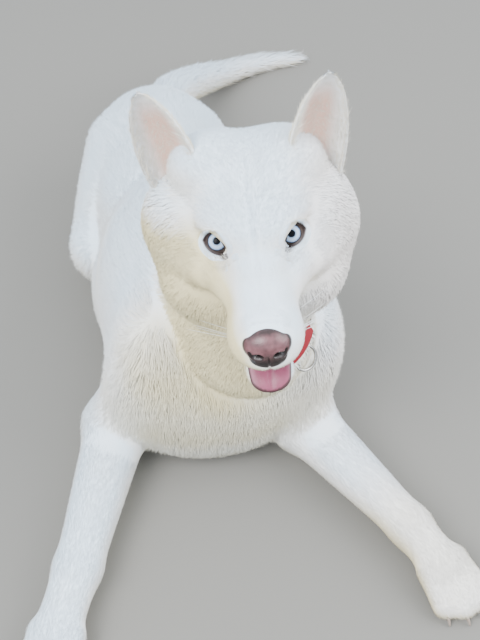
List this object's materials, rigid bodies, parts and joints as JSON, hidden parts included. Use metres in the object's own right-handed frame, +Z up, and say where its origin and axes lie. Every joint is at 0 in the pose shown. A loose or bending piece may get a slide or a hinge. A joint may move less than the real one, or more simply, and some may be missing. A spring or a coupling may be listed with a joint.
{
  "type": "siberian husky dog in white coat, lying, with collar",
  "caption": "Life-size white siberian husky lying on its chest with its head raised, front legs spread, tail swept aside, in a red collar with a metal ring.",
  "frame": {"origin": "on the floor, under the middle of the whole dog's box", "axes": "-Y the way the dog faces, +X the dog's left side, +Z up from the floor it lies on"},
  "size_m": [0.519, 1.077, 0.5564],
  "materials": {
    "coat": "white double coat of fur",
    "nose_leather": "moist, mauve brown",
    "tongue": "wet, pink",
    "eye": "wet, pale blue iris",
    "claw": "horn",
    "collar_webbing": "woven red webbing",
    "ring_metal": "worn steel"
  },
  "bodies": {
    "root": {"trunk": "coat", "neck": "coat", "head": "coat", "jaw": "coat", "nose": "nose_leather", "tongue": "tongue", "eye_left": "eye", "eye_right": "eye", "ear_left": "coat", "ear_right": "coat", "foreleg_left": "coat", "foreleg_right": "coat", "hindleg_left": "coat", "hindleg_right": "coat", "tail_root": "coat", "tail_end": "coat", "collar": "collar_webbing", "collar_ring": "ring_metal", "claw_front_left_1": "claw", "claw_front_left_2": "claw", "claw_front_left_3": "claw", "claw_front_left_4": "claw", "claw_front_right_1": "claw", "claw_front_right_2": "claw", "claw_front_right_3": "claw", "claw_front_right_4": "claw", "claw_hind_left_1": "claw", "claw_hind_left_2": "claw", "claw_hind_left_3": "claw", "claw_hind_left_4": "claw", "claw_hind_right_1": "claw", "claw_hind_right_2": "claw", "claw_hind_right_3": "claw", "claw_hind_right_4": "claw"}
  },
  "joints": []
}
